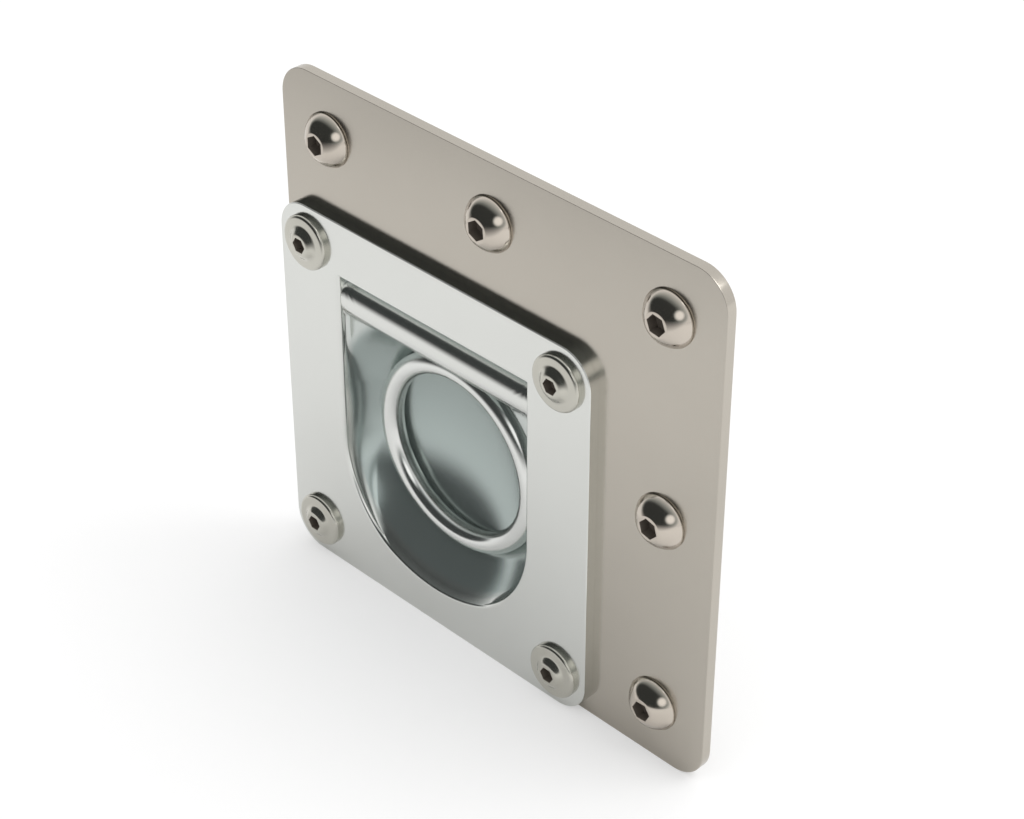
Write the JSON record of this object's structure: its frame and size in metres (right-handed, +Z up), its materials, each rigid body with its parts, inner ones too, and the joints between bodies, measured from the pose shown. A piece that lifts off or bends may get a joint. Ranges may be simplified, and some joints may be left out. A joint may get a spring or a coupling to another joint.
{
  "type": "lashing eye",
  "caption": "Lashing eye: a round ring swings out of a dished, D-shaped recess in a pressed square pan, screwed to a larger square backing plate.",
  "frame": {"origin": "centre of the backing plate's rear face, which goes against the wall or floor", "axes": "+Z up the plate as pictured, +X to its right, and the ring swings out towards -Y"},
  "size_m": [0.15, 0.0274, 0.15],
  "materials": {
    "plate_steel": "satin steel, warm grey",
    "pan_zinc": "bright zinc on pressed sheet",
    "ring_zinc": "bright zinc on round bar",
    "keeper_steel": "satin steel",
    "domed_screw": "polished stainless steel",
    "flanged_screw": "satin stainless steel",
    "washer": "plain steel",
    "nut": "plain steel"
  },
  "bodies": {
    "base": {"backing_plate": "plate_steel", "pan": "pan_zinc", "ring_keeper": "keeper_steel", "plate_screw_1": "domed_screw", "plate_screw_2": "domed_screw", "plate_screw_3": "domed_screw", "plate_screw_4": "domed_screw", "plate_screw_5": "domed_screw", "plate_washer_1": "washer", "plate_washer_2": "washer", "plate_washer_3": "washer", "plate_washer_4": "washer", "plate_washer_5": "washer", "plate_nut_1": "nut", "plate_nut_2": "nut", "plate_nut_3": "nut", "plate_nut_4": "nut", "plate_nut_5": "nut", "pan_screw_1": "flanged_screw", "pan_screw_2": "flanged_screw", "pan_screw_3": "flanged_screw", "pan_screw_4": "flanged_screw", "pan_washer_1": "washer", "pan_washer_2": "washer", "pan_washer_3": "washer", "pan_washer_4": "washer", "pan_nut_1": "nut", "pan_nut_2": "nut", "pan_nut_3": "nut", "pan_nut_4": "nut"},
    "ring": {"ring": "ring_zinc"}
  },
  "joints": [
    {"name": "ring_swing", "type": "hinge", "parent": "base", "child": "ring", "pos_m": [-0.019, 0.0045, 0.0025], "axis": [-1, 0, 0], "range_deg": [0, 100]}
  ]
}
